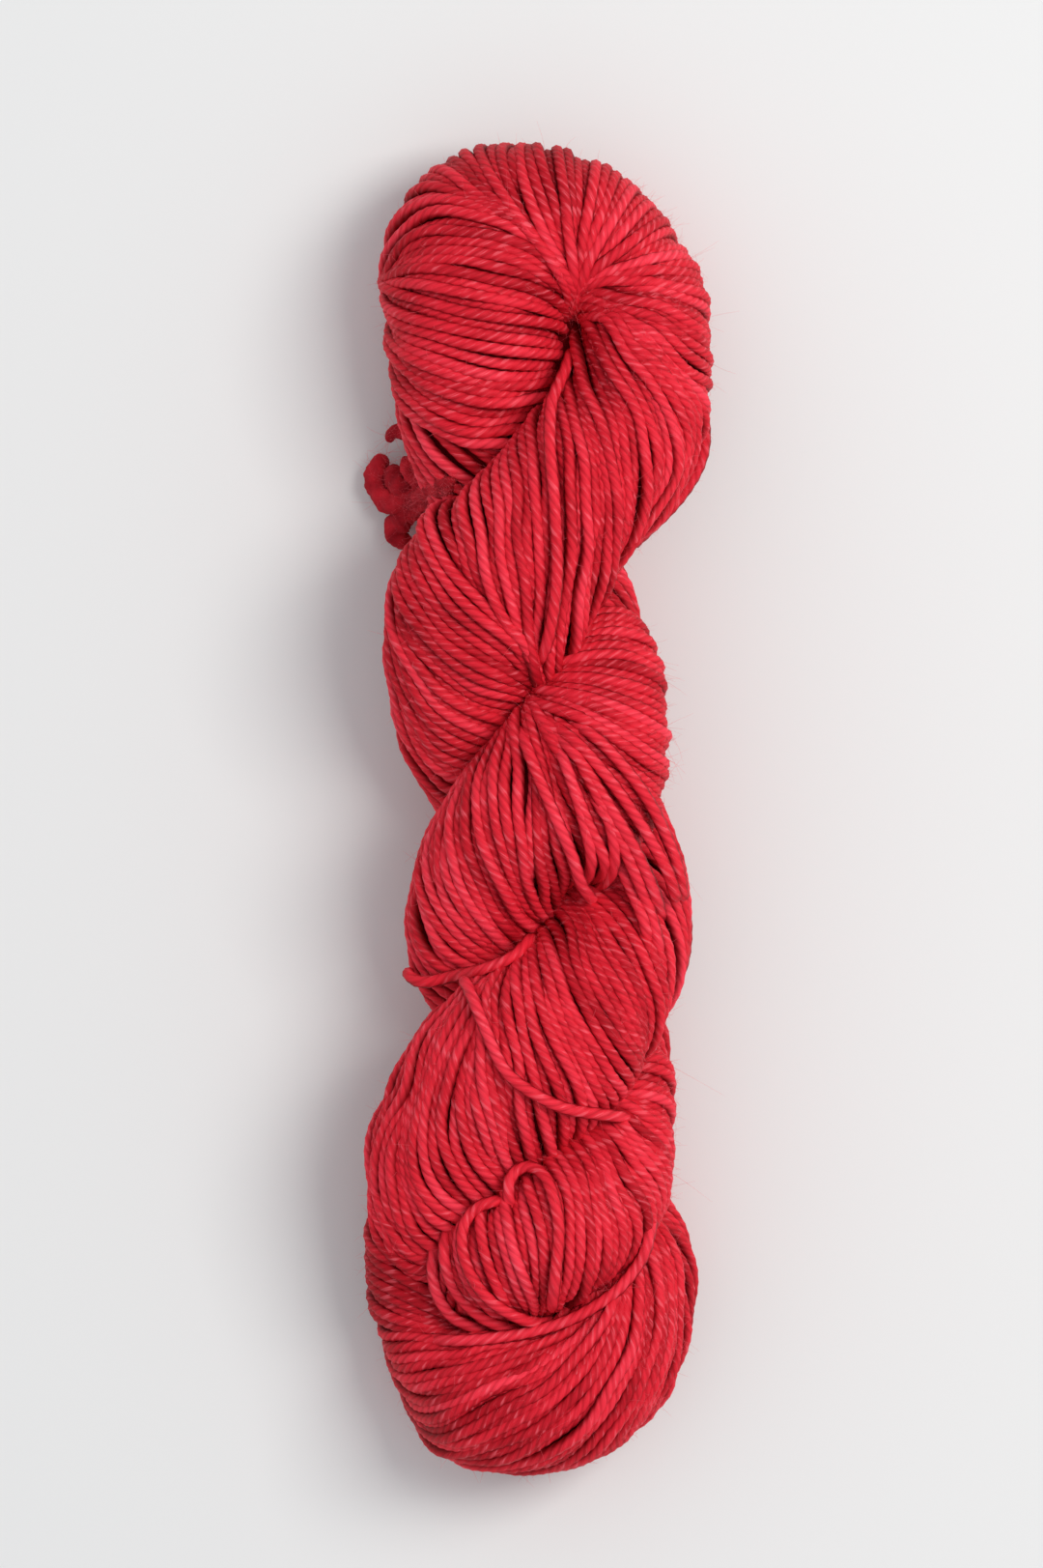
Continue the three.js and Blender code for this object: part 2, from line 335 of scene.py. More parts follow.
FIRST_CROSSING = (26.5, 33), (
    ((592, 372), (612, 420), (628, 470), (638, 530), (636, 590)),
    ((585, 385), (598, 440), (612, 500), (618, 560), (610, 620)),
    ((575, 395), (580, 450), (590, 520), (592, 590), (585, 650)),
    ((555, 415), (558, 470), (563, 530), (566, 600), (562, 670)),
    ((530, 450), (532, 500), (535, 560), (545, 620), (552, 680)),
    ((505, 480), (505, 540), (510, 600), (530, 650), (552, 685)),
    ((480, 500), (480, 550), (490, 600), (520, 650), (550, 685)),
    ((455, 515), (460, 560), (480, 600), (510, 640), (548, 690)),
    ((440, 520), (445, 560), (470, 600), (500, 630), (540, 665), (553, 690)),
)
LEFT_BULGE = (28.5, 34), (
    ((420, 560), (430, 600), (460, 640), (500, 670), (548, 700)),
    ((403, 610), (425, 660), (460, 692), (500, 717), (545, 725)),
    ((402, 640), (425, 700), (450, 730), (490, 755), (530, 765)),
    ((405, 700), (420, 740), (450, 780), (490, 795), (520, 790)),
    ((412, 750), (430, 790), (460, 820), (485, 815)),
)
FINE_STEPS = 240  # on a strand while its length is measured
SAMPLES = 40  # along a strand before its ends are added
PLACE_PITCH = 0.025  # rows, of the grid on which photo points are looked up
SEEN_TURNS = np.radians(np.arange(-8, 189, 1.5))  # that face the camera, and a little round the edges
HEIGHT_FAVOUR = 0.02  # of a grid point, for each millimetre that it is higher
SPACING = 2.3
WIDE_SHARE = 97  # percentile of the gap between two guides that is filled
PROUD = 0.3  # of the uppermost strands over the skin
LOW_SHARE, LOW_DEPTH = 0.22, 1.1  # of the strands that lie lower than their neighbours
LAYERS = np.array([0.0, 2.4, 0.9, 3.0])  # depths that neighbours take by turns where they crowd
RUN_OUT = 26.0  # length that a strand goes on past what the photo shows
RUN_OUT_SAMPLES = 14
TWIST_LENGTH = 112.0  # of a bundle for one turn of its strands round it
END_SINK = 3.4
NUDGE = 0.05  # rows or radians, to measure how far a step of one goes
PLIES = 4
PLY_LENGTH = 10.4  # of yarn for one turn of its plies
RING_STEP = PLY_LENGTH / (2 * PLIES)
CREST, VALLEY = 1.38, 1.24  # radii of the yarn on a ply and between two
BURIED_DEPTH = 3.6
SECTION_PITCH = 0.1  # rows
SECTION_REACH = 1.3  # of a section to either side of its own plane
OWN_ROWS = 1.6  # on either side of a point, which don't bury it
TRACE = 1e-9
SHORTEST = 7  # points of a strand that is kept
SKIP = 4  # points that share one answer on whether they are buried
DRIFT, SKIN_RADIUS = 0.3, 15  # of a strand to the side, and of the bundle that it goes round
HEIGHT_WAVES, SIDE_WAVES = (61, 37, 23), (47, 31, 19)
# the last is painted shade: a strand's colour is darker for each millimetre that it has sunk
TONE_SPREAD, TONE_DRIFT, SUNK_SHADE = 0.55, 0.7, 0.3  # between strands, along one, and with its sink
TONE_WAVES = (140, 73, 41, 17)
# Each pool is photo x and y, its radius in pixels and how much darker it makes the yarn, or paler if <
# 0.
DYE_AND_SHADE_POOLS = np.array([
    # wide pools of the dye's own tone
    (540, 180, 70, 1.7),
    (612, 372, 40, 1.0),
    (462, 655, 50, 1.0),
    (505, 900, 45, 0.4),
    (640, 1045, 55, 0.8),
    # dye, and painted shade on the lower left side, which is turned from the light
    (395, 1330, 60, 2.4),
    (685, 1370, 55, 0.9),
    (530, 1480, 90, 1.1),
    # painted shade: the small darkening pools from here on lie in the dimple and the crevices; the two
    # paler ones are the dye's tone
    (592, 312, 26, 0.9),
    (543, 712, 30, 1.2),
    (498, 786, 28, 0.7),
    (556, 955, 32, 1.2),
    (475, 945, 55, -0.7),
    (515, 1300, 60, -0.9),
    (655, 1285, 24, 0.9),
    (620, 1325, 24, 0.9),
    (582, 1358, 20, 0.9),
])
rng = np.random.default_rng(11)


def from_photo(pixels):
    """Plan x and y of photo points: their steps from the middle pixel, y upwards, in millimetres."""
    return (np.array(pixels, float)[:, :2] - PHOTO_MIDDLE) * (PIXEL, -PIXEL)


def smooth_line(knots, steps):
    """The smoothed knots at that many even places from the first to the last."""
    return smooth_rows(knots, np.linspace(0, len(knots) - 1, steps))


def length_along(points):
    """The length of a line of points up to each of them: the sum of its straight steps."""
    return np.concatenate([[0], np.cumsum(np.linalg.norm(np.diff(points, axis=0), axis=1))])


def read_at(wanted, length, columns):
    """Columns of values known at those lengths, read on straight lines between them."""
    return np.stack([np.interp(wanted, length, column) for column in columns.T], 1)


def unit(vectors, trace=0.0):
    """The vectors at length 1: each divided by its own length, to which a trace is added where it
    could be nought."""
    return vectors / (np.linalg.norm(vectors, axis=-1, keepdims=True) + trace)


def lay_on(rows, stretch, pixels):
    """Places and turns of photo points: of a fine grid on the upper skin of that stretch of rows,
    the grid point with the least squared distance seen from above, less a little for height."""
    x, y = from_photo(pixels).T
    place, turn = np.meshgrid(np.arange(*stretch, PLACE_PITCH), SEEN_TURNS, indexing="ij")
    skin = on_bundle(rows, place, turn).reshape(-1, 3)
    miss = (skin[:, 0] - x[:, None]) ** 2 + (skin[:, 1] - y[:, None]) ** 2 - HEIGHT_FAVOUR * skin[:, 2]
    nearest = miss.argmin(1)
    return np.stack([place.ravel()[nearest], turn.ravel()[nearest]], 1)


def guides_on(rows, *groups):
    """Guide strands of SAMPLES even steps: smooth_rows through each one's laid points, read where
    the length measured along the skin reaches each share of the whole."""
    guides = []
    for stretch, strands in groups:
        for pixels in strands:
            knots = lay_on(rows, stretch, pixels)
            fine = smooth_line(knots, FINE_STEPS)
            length = length_along(on_bundle(rows, fine[:, 0], fine[:, 1]))
            guides.append(read_at(np.linspace(0, length[-1], SAMPLES), length, fine))
    return np.array(guides)


def side_gaps(rows, courses):
    """Distances between neighbouring courses at each sample, square to the first one's run."""
    spots = on_bundle(rows, courses[..., 0], courses[..., 1])
    run = unit(np.gradient(spots, axis=1), TRACE)
    step = np.diff(spots, axis=0)
    step -= run[:-1] * np.sum(step * run[:-1], 2, keepdims=True)
    return np.linalg.norm(step, axis=2)


def fill_between(rows, guides):
    """Courses of strands side by side: between two guides as many as their wide gap holds at the
    yarn's spacing, each at an even share of the way from the one to the other."""
    wide = np.percentile(side_gaps(rows, guides), WIDE_SHARE, axis=1)
    counts = np.maximum(1, np.round(wide / SPACING)).astype(int)
    shares = [k + np.arange(n) / n for k, n in enumerate(counts)]
    shares = np.concatenate(shares + [np.array([len(guides) - 1.0])])
    first = np.minimum(shares.astype(int), len(guides) - 2)
    part = (shares - first)[:, None, None]
    return guides[first] * (1 - part) + guides[first + 1] * part


def crowding(rows, courses):
    """How far each strand lies under its neighbours where courses close up: the share by which the
    gap is less than the spacing, times a depth that goes over and under along the row of strands.
    A few strands lie LOW_DEPTH lower all along."""
    gaps = side_gaps(rows, courses)
    nearest = np.minimum(np.vstack([gaps[:1], gaps]), np.vstack([gaps, gaps[-1:]]))
    close = np.clip(1 - nearest / SPACING, 0, 1)
    layer = LAYERS[np.arange(len(courses)) % len(LAYERS)] + rng.uniform(-0.3, 0.5, len(courses))
    low = LOW_DEPTH * (rng.uniform(0, 1, len(courses)) < LOW_SHARE)
    return close * layer[:, None] + low[:, None]


def run_out(rows, courses, sink):
    """Adds the hidden ends, the courses turned round for each of them. A course bends evenly from
    its own direction into the helix of the bundle's twist, and sinks by END_SINK."""
    for _ in range(2):
        courses, sink = courses[:, ::-1], sink[:, ::-1]
        place, turn = courses[:, -1].T
        here = on_bundle(rows, place, turn)
        per_place = np.linalg.norm(on_bundle(rows, place + NUDGE, turn) - here, axis=1) / NUDGE
        per_turn = np.linalg.norm(on_bundle(rows, place, turn + NUDGE) - here, axis=1) / NUDGE
        scale = np.stack([per_place, per_turn], 1)
        out = unit((courses[:, -1] - courses[:, -4]) * scale, TRACE)
        helix = unit(np.stack([np.full(len(out), TWIST_LENGTH), 2 * np.pi * per_turn], 1))
        helix *= np.where(np.sum(helix * out, 1) < 0, -1, 1)[:, None]
        t = np.linspace(0, 1, RUN_OUT_SAMPLES + 1)[1:, None, None]
        added = courses[:, -1] + RUN_OUT * (out * (t - t**2 / 2) + helix * t**2 / 2) / scale
        sunk = sink[:, -1, None] + END_SINK * np.clip(t[:, 0, 0] * 2 - 1, 0, 1) ** 2
        courses = np.concatenate([courses, added.transpose(1, 0, 2)], 1)
        sink = np.concatenate([sink, sunk], 1)
    return courses, sink


def waver(length, waves):
    """An uneven line: the sum of sines of those wavelengths, each with a random phase, divided by
    the square root of how many there are."""
    swing = sum(np.sin(2 * np.pi * length / wave + rng.uniform(0, 7)) for wave in waves)
    return swing / len(waves) ** 0.5


sections = []
for number, table in enumerate((BUNDLE, TUCKED_LOOP)):
    place = np.arange(0, len(table) - 1 + SECTION_PITCH / 2, SECTION_PITCH)
    row = smooth_rows(table, place)
    sections.append(np.column_stack([row, place, np.full(len(place), number)]))
sections = np.vstack(sections)


def buried(points, place, number):
    """True where a point lies more than BURIED_DEPTH deep in another stretch of yarn: inside the
    ellipse of a section that it is level with and that is over OWN_ROWS from its own place."""
    bearing = np.radians(sections[:, 5])
    step = points[:, None] - sections[None, :, :3]
    across = step[..., 0] * np.cos(bearing) + step[..., 1] * np.sin(bearing)
    off = step[..., 1] * np.cos(bearing) - step[..., 0] * np.sin(bearing)
    wide, high = (sections[:, 3:5] - BURIED_DEPTH).T
    oval = (across / wide) ** 2 + (step[..., 2] / high) ** 2
    own = (sections[:, 7] == number) & (np.abs(place[:, None] - sections[:, 6]) < OWN_ROWS)
    return np.any((oval < 1) & (np.abs(off) < SECTION_REACH) & ~own, axis=1)


def dyed_and_shaded(points, tone):
    """The tone with the pools of dye and of painted shade: less each pool's depth times a bell round
    its middle, the exponential of minus the squared distance over the squared radius."""
    x = PHOTO_MIDDLE[0] + points[:, 0] / PIXEL
    y = PHOTO_MIDDLE[1] - points[:, 1] / PIXEL
    away = (x[:, None] - DYE_AND_SHADE_POOLS[:, 0]) ** 2 + (y[:, None] - DYE_AND_SHADE_POOLS[:, 1]) ** 2
    return tone - (DYE_AND_SHADE_POOLS[:, 3] * np.exp(-away / DYE_AND_SHADE_POOLS[:, 2] ** 2)).sum(1)


def strands_on(number, courses, sink, height=0.35, deepest=9.0):
    """Strands of yarn from courses: even steps of RING_STEP along each, a radius under the skin
    less its sink, wavering a little in height and to the side, never under the floor. What lies
    buried in another stretch, or has sunk deepest, is left out, and the rest is parted there."""
    rows = (BUNDLE, TUCKED_LOOP)[number]
    strands = []
    for course, sunk in zip(courses, sink):
        length = length_along(on_bundle(rows, course[:, 0], course[:, 1]))
        along = np.arange(0, length[-1], RING_STEP)
        fine = np.interp(along, length, np.arange(len(course)))
        place, turn, sunk = smooth_rows(np.column_stack([course, sunk]), fine).T
        place = np.clip(place, 0, len(rows) - 1)
        turn = turn + DRIFT * waver(along, SIDE_WAVES) / SKIN_RADIUS
        lift = height * waver(along, HEIGHT_WAVES) - STRAND_RADIUS - sunk + PROUD
        points = on_bundle(rows, place, turn, lift)
        outward = on_bundle(rows, place, turn, lift + 1) - points
        # painted shade: a strand that has sunk under its neighbours is coloured darker
        tone = rng.normal(0, TONE_SPREAD) + TONE_DRIFT * waver(along, TONE_WAVES) - SUNK_SHADE * sunk
        tone = dyed_and_shaded(points, tone)
        deep = np.repeat(buried(points[::SKIP], place[::SKIP], number), SKIP)[:len(points)]
        kept = ~deep & (sunk < deepest)
        points[:, 2] = np.maximum(points[:, 2], CREST)
        edges = np.flatnonzero(np.diff(np.concatenate([[False], kept, [False]])))
        for start, stop in zip(edges[::2], edges[1::2]):
            if stop - start >= SHORTEST:
                part = slice(start, stop)
                strands.append((points[part], outward[part], tone[part], along[part]))
    return strands


def spin_yarn(name, strands):
    """One piece of many strands. A ring of a strand is CREST and VALLEY by turns round the path,
    and each ring is turned half a ply further to the left, so that crests run on as plies. uv is
    the share of the way round in the plies' own turning and the length in millimetres; outer is
    the cosine of the way round from the side that faces out of the bundle."""
    sides = 2 * PLIES
    radius = np.where(np.arange(sides) % 2 == 0, CREST, VALLEY)
    points, faces, uvs, tones, outers, start = [], [], [], [], [], 0
    for path, outward, tone, along in strands:
        run = unit(np.gradient(path, axis=0), TRACE)
        up = unit(outward - run * np.sum(outward * run, 1, keepdims=True), TRACE)
        side = np.cross(run, up)
        angle = 2 * np.pi * (np.arange(sides) / sides - (along / PLY_LENGTH)[:, None])
        outwards = (np.cos(angle) * radius)[..., None] * up[:, None]
        sideways = (np.sin(angle) * radius)[..., None] * side[:, None]
        points.append((path[:, None] + (outwards + sideways)).reshape(-1, 3))
        corners = tube_triangles(len(path), sides)
        faces.append(corners[..., 0] * sides + corners[..., 1] % sides + start)
        uvs.append(np.stack([corners[..., 1] / sides, along[corners[..., 0]]], -1).reshape(-1, 2))
        tones.append(np.repeat(tone, sides))
        outers.append(np.cos(angle).ravel())
        start += len(path) * sides
    values = {"tone": np.concatenate(tones), "outer": np.concatenate(outers)}
    add_piece(name, np.vstack(points), np.vstack(faces), yarn, "hank", values, np.vstack(uvs))


def lay_turns(number, *groups):
    """The strands of one stretch of the bundle, or of the tucked loop: filled in between the
    guides of those groups, lowered where they crowd, run out at both ends and laid on."""
    rows = (BUNDLE, TUCKED_LOOP)[number]
    courses = fill_between(rows, guides_on(rows, *groups))
    return strands_on(number, *run_out(rows, courses, crowding(rows, courses)))


# The yarn's finish: tonal crimson with fine fibres laid along the plies, painted shade in the
# grooves between them, and painted highlights, pale flecks of shine, on their crests.
yarn = new_material("yarn", 0.6, 0.2, {"Specular Tint": (1.0, 0.55, 0.58, 1)})
nodes, links = yarn.node_tree.nodes, yarn.node_tree.links
surface = nodes["Principled BSDF"]


def sum_node(operation, first, second, third=None):
    """A Math node of that operation on its values, each a socket or a plain number."""
    node = nodes.new("ShaderNodeMath")
    node.operation = operation
    for socket, value in zip(node.inputs, (first, second, third)):
        if isinstance(value, bpy.types.NodeSocket):
            links.new(value, socket)
        elif value is not None:
            socket.default_value = value
    return node.outputs["Value"]


def noise_node(vector, scales, detail):
    """The value of a noise texture of that detail, its three coordinates multiplied by scales."""
    stretch = nodes.new("ShaderNodeMapping")
    set_values(stretch, {"Scale": scales})
    links.new(vector, stretch.inputs["Vector"])
    noise = nodes.new("ShaderNodeTexNoise")
    set_values(noise, {"Scale": 1.0, "Detail": detail})
    links.new(stretch.outputs["Vector"], noise.inputs["Vector"])
    return noise.outputs["Fac"]


def blend_node(kind, share, first, second):
    """A colour Mix node of that kind: the second colour over the first, by that share."""
    node = nodes.new("ShaderNodeMix")
    node.data_type = "RGBA"
    node.blend_type = kind
    links.new(share, node.inputs["Factor"])
    links.new(first, node.inputs["A"])
    node.inputs["B"].default_value = second
    return node.outputs["Result"]


def attribute_node(name):
    """The value that each point of the mesh carries under that name."""
    node = nodes.new("ShaderNodeAttribute")
    node.attribute_name = name
    return node.outputs["Fac"]


def ramp_node(value, *colours):
    """The colour of a ramp at a value from 0 to 1, the colours at even steps along it."""
    node = nodes.new("ShaderNodeValToRGB")
    stops = node.color_ramp.elements
    stops[0].color, stops[1].color = colours[0], colours[-1]
    for number, colour in enumerate(colours[1:-1], 1):
        stops.new(number / (len(colours) - 1)).color = colour
    links.new(value, node.inputs["Fac"])
    return node.outputs["Color"]


def set_relief(height, strength, distance):
    """Raises the surface's shading by a height value: a bump of that strength and distance."""
    node = nodes.new("ShaderNodeBump")
    set_values(node, {"Strength": strength, "Distance": distance})
    links.new(height, node.inputs["Height"])
    links.new(node.outputs["Normal"], surface.inputs["Normal"])


along_node = nodes.new("ShaderNodeUVMap")
along_node.uv_map = "along"
parts = nodes.new("ShaderNodeSeparateXYZ")
links.new(along_node.outputs["UV"], parts.inputs["Vector"])
round_plies = sum_node("MULTIPLY", parts.outputs["X"], 2 * np.pi * PLIES)
# 1 on the crest of a ply and 0 in the groove beside it
ply = sum_node("MULTIPLY_ADD", sum_node("COSINE", round_plies, 0), 0.5, 0.5)
fibres = noise_node(along_node.outputs["UV"], (34, 0.4, 1), 3.0)
highlight_noise = noise_node(along_node.outputs["UV"], (9, 0.33, 1), 2.0)
groove_shade_noise = noise_node(along_node.outputs["UV"], (2.5, 0.21, 1), 1.0)

# the tone holds the dye's own tone and the painted shade of sunk strands and of the crevice pools
tone_level = sum_node("MULTIPLY_ADD", attribute_node("tone"), 0.22, 0.5)
streaks = sum_node("MULTIPLY_ADD", fibres, 0.7, -0.35)
crimson = ramp_node(sum_node("ADD", tone_level, streaks),
                    (0.42, 0.004, 0.012, 1), (0.77, 0.018, 0.036, 1), (0.97, 0.050, 0.085, 1))
# painted shade: the colour is darkened in the grooves between plies, more in some stretches than others
painted_groove_shade = sum_node("POWER", sum_node("SUBTRACT", 1.0, ply), 3.0)
painted_groove_shade = sum_node("MULTIPLY", painted_groove_shade, sum_node("MULTIPLY_ADD", groove_shade_noise, 1.6, -0.35))
with_groove_shade = blend_node("MULTIPLY", painted_groove_shade, crimson, (0.50, 0.25, 0.30, 1))
# painted highlight: pale flecks of shine on the crests of the plies
painted_highlight = sum_node("MULTIPLY", sum_node("POWER", ply, 1.5), sum_node("MULTIPLY_ADD", highlight_noise, 5.5, -2.95))
painted_highlight.node.use_clamp = True
with_painted_highlights = blend_node("MIX", sum_node("MULTIPLY", painted_highlight, 0.52), with_groove_shade, (1.0, 0.21, 0.26, 1))
# painted shade: darker from the outer side of a strand to the side that faces into the bundle
inner = nodes.new("ShaderNodeMapRange")
inner.interpolation_type = "SMOOTHSTEP"
set_values(inner, {"From Min": 0.92, "From Max": -0.1})
links.new(attribute_node("outer"), inner.inputs["Value"])
with_painted_inner_shade = blend_node("MULTIPLY", inner.outputs["Result"], with_painted_highlights, (0.34, 0.16, 0.18, 1))
links.new(with_painted_inner_shade, surface.inputs["Base Color"])
set_relief(sum_node("ADD", ply, sum_node("MULTIPLY", fibres, 0.35)), 0.4, 0.0002)

FOLD_EDGE = 76.0  # y that parts the strands into two pieces
fold_strands = lay_turns(0, LOBE, CAP, RIGHT_SHOULDER, FIRST_CROSSING, LEFT_BULGE)
spin_yarn("fold_turns", [s for s in fold_strands if s[0][:, 1].mean() > FOLD_EDGE])
spin_yarn("first_crossing", [s for s in fold_strands if s[0][:, 1].mean() <= FOLD_EDGE])


# The turns over the second crossing, where the other half of the loop comes up on the right: the
# same wool yarn, wound side by side. It comes out of the crevice under the first crossing, spreads
# over the bundle and closes up where the third crossing holds it down.
SECOND_RIGHT = (10.5, 14.5), (
    ((560, 675), (585, 655), (610, 640), (640, 632), (665, 640)),
    ((556, 690), (600, 675), (640, 670), (670, 680), (685, 690)),
    ((555, 700), (600, 697), (640, 700), (680, 712), (695, 722)),
    ((557, 715), (600, 722), (640, 735), (680, 755), (693, 765)),
    ((558, 730), (600, 745), (640, 770), (670, 790), (688, 803)),
    ((560, 745), (590, 770), (630, 800), (665, 820), (690, 840)),
)
SECOND_CROSSING = (7.5, 13), (
    ((562, 760), (585, 790), (620, 830), (655, 865), (690, 895)),
    ((575, 760), (610, 800), (640, 850), (652, 885), (645, 912)),
    ((560, 780), (575, 820), (597, 860), (610, 905)),
    ((545, 790), (550, 840), (550, 880), (555, 920), (557, 940)),
    ((520, 790), (522, 840), (530, 880), (545, 920), (558, 938)),
    ((500, 800), (500, 850), (515, 890), (530, 925), (548, 945)),
    ((480, 815), (478, 860), (490, 900), (510, 940), (540, 975)),
    ((460, 830), (450, 880), (455, 920), (480, 960), (510, 985)),
    ((452, 840), (435, 870), (430, 910), (445, 950), (470, 980)),
    ((447, 845), (425, 890), (420, 930), (425, 970), (440, 1000)),
)
second_strands = lay_turns(0, SECOND_RIGHT, SECOND_CROSSING)
spin_yarn("second_crossing", second_strands)


# The turns over the third crossing, and down the left side to the tucked loop: the same wool
# yarn, wound side by side. It comes out under the second crossing, lies in one wide band over the
# half below it, and runs on down into the crevices at the left.
THIRD_CROSSING = (35, 41.5), (
    ((640, 915), (670, 935), (690, 970), (697, 1010)),
    ((625, 920), (655, 950), (680, 1000), (690, 1040)),
    ((600, 940), (630, 975), (655, 1010), (670, 1050)),
    ((570, 945), (590, 985), (610, 1030), (640, 1080), (655, 1100)),
    ((555, 960), (575, 1010), (600, 1060), (630, 1110), (645, 1130)),
    ((545, 985), (555, 1030), (575, 1080), (600, 1130), (605, 1160)),
    ((535, 1005), (540, 1040), (550, 1080), (568, 1130), (580, 1175)),
    ((520, 1020), (525, 1060), (535, 1100), (540, 1150), (550, 1195)),
    ((500, 1060), (505, 1110), (515, 1150), (530, 1195)),
    ((490, 1070), (485, 1110), (485, 1150), (500, 1190), (520, 1215)),
    ((485, 1065), (475, 1100), (468, 1140), (470, 1180), (485, 1210), (505, 1235)),
    ((475, 1060), (460, 1090), (450, 1130), (445, 1180), (460, 1220), (480, 1242)),
    ((465, 1055), (448, 1085), (435, 1130), (425, 1180), (430, 1220), (450, 1250), (470, 1260)),
    ((455, 1050), (437, 1080), (425, 1120), (410, 1160), (400, 1200), (405, 1240), (420, 1280),
     (440, 1300)),
    ((447, 1046), (430, 1060), (420, 1090), (405, 1130), (385, 1170), (378, 1220), (380, 1260),
     (395, 1290), (420, 1312), (440, 1318)),
)
LEFT_SIDE = (39.5, 43.5), (
    ((383, 1290), (410, 1310), (437, 1325)),
    ((380, 1330), (405, 1345), (440, 1360)),
    ((385, 1365), (410, 1375), (445, 1380)),
)
third_strands = lay_turns(0, THIRD_CROSSING, LEFT_SIDE)
spin_yarn("third_crossing", third_strands)


# The turns over the last crossing: the same wool yarn, wound side by side. It comes out in a
# slanting line from under the third crossing, and gathers in the crevice of the tucked loop, which
# holds it down.
LAST_CROSSING = (1.5, 6.5), (
    ((660, 1085), (695, 1095)),
    ((655, 1130), (690, 1140)),
    ((640, 1160), (665, 1185), (688, 1215)),
    ((625, 1175), (650, 1210), (675, 1240), (678, 1255)),
    ((610, 1185), (630, 1230), (645, 1270), (640, 1310)),
    ((590, 1200), (605, 1240), (612, 1280), (608, 1320), (600, 1345)),
    ((570, 1205), (585, 1240), (590, 1290), (585, 1340), (580, 1365)),
    ((550, 1210), (562, 1240), (572, 1280), (575, 1330), (570, 1365)),
    ((535, 1240), (545, 1270), (555, 1310), (560, 1350)),
    ((520, 1250), (530, 1290), (545, 1330), (555, 1355)),
    ((505, 1265), (515, 1300), (530, 1340), (545, 1360)),
    ((485, 1270), (490, 1300), (505, 1335), (528, 1362)),
    ((465, 1270), (465, 1300), (480, 1340), (510, 1370)),
)
last_strands = lay_turns(0, LAST_CROSSING)
spin_yarn("last_crossing", last_strands)


# The end of the loop, tucked back through the last turn of the twist and spread round the lower
# end of the skein: the same wool yarn. Tucked in like that, it keeps the skein from untwisting.
LOWER_LOOP = (1.5, 8.9), (
    ((570, 1370), (530, 1380), (480, 1385), (430, 1385), (385, 1383)),
    ((590, 1362), (550, 1385), (500, 1400), (450, 1410), (400, 1412)),
    ((620, 1340), (570, 1390), (520, 1420), (460, 1440), (415, 1440)),
    ((630, 1335), (590, 1390), (540, 1430), (480, 1460), (425, 1475)),
    ((640, 1335), (620, 1390), (580, 1440), (510, 1480), (450, 1495)),
    ((650, 1330), (640, 1390), (610, 1440), (560, 1490), (500, 1515)),
    ((665, 1320), (660, 1390), (640, 1440), (600, 1490), (550, 1520)),
    ((675, 1300), (680, 1380), (665, 1430), (635, 1480), (600, 1515)),
    ((685, 1290), (695, 1360), (685, 1420), (665, 1460), (640, 1500)),
    ((695, 1280), (710, 1340), (705, 1400), (690, 1440)),
)
loop_strands = lay_turns(1, LOWER_LOOP)
spin_yarn("tucked_loop", loop_strands)


# The turns underneath and between: the same yarn, wound round each bundle at the twist's own
# slope. They lie at the skin where no strand above covers them, and a layer lower elsewhere.
UNDER_STRANDS = 27
UNDER_STEPS = 12  # from row to row
UNEVEN = 0.15  # of a strand's share of the way round
UNDER_SINK = 2.7
UNDER_WANDER = 0.25  # up and down
COVER = 2.5  # distance at which a strand above hides one
COVER_BLUR = 9  # steps over which a strand sinks
top_strands = fold_strands + second_strands + third_strands + last_strands + loop_strands
upper = np.vstack([s[0][::3] for s in top_strands])
for number, table in enumerate((BUNDLE, TUCKED_LOOP)):
    last = len(table) - 1
    place = np.linspace(0, last, last * UNDER_STEPS + 1)
    turn = length_along(smooth_rows(table, place)[:, :3]) * 2 * np.pi / TWIST_LENGTH
    courses, sinks = [], []
    for k in range(UNDER_STRANDS):
        way_round = 2 * np.pi * (k + rng.uniform(-UNEVEN, UNEVEN)) / UNDER_STRANDS
        courses.append(np.stack([place, turn + way_round], 1))
        spots = on_bundle(table, place, turn + way_round, -STRAND_RADIUS)[:, None]
        nearest = [np.linalg.norm(spots - block, axis=2).min(1) for block in np.array_split(upper, 8)]
        covered = np.pad((np.min(nearest, axis=0) < COVER).astype(float), COVER_BLUR // 2, "edge")
        sinks.append(UNDER_SINK * np.convolve(covered, np.ones(COVER_BLUR) / COVER_BLUR, "valid"))
    strands = strands_on(number, np.array(courses), np.array(sinks), UNDER_WANDER, UNDER_SINK * 0.98)
    half = len(strands) // 2
    if number == 0:
        spin_yarn("under_turns_upper_end", strands[:half])
        spin_yarn("under_turns_lower_end", strands[half:])
    else:
        spin_yarn("under_turns_tucked_loop", strands)


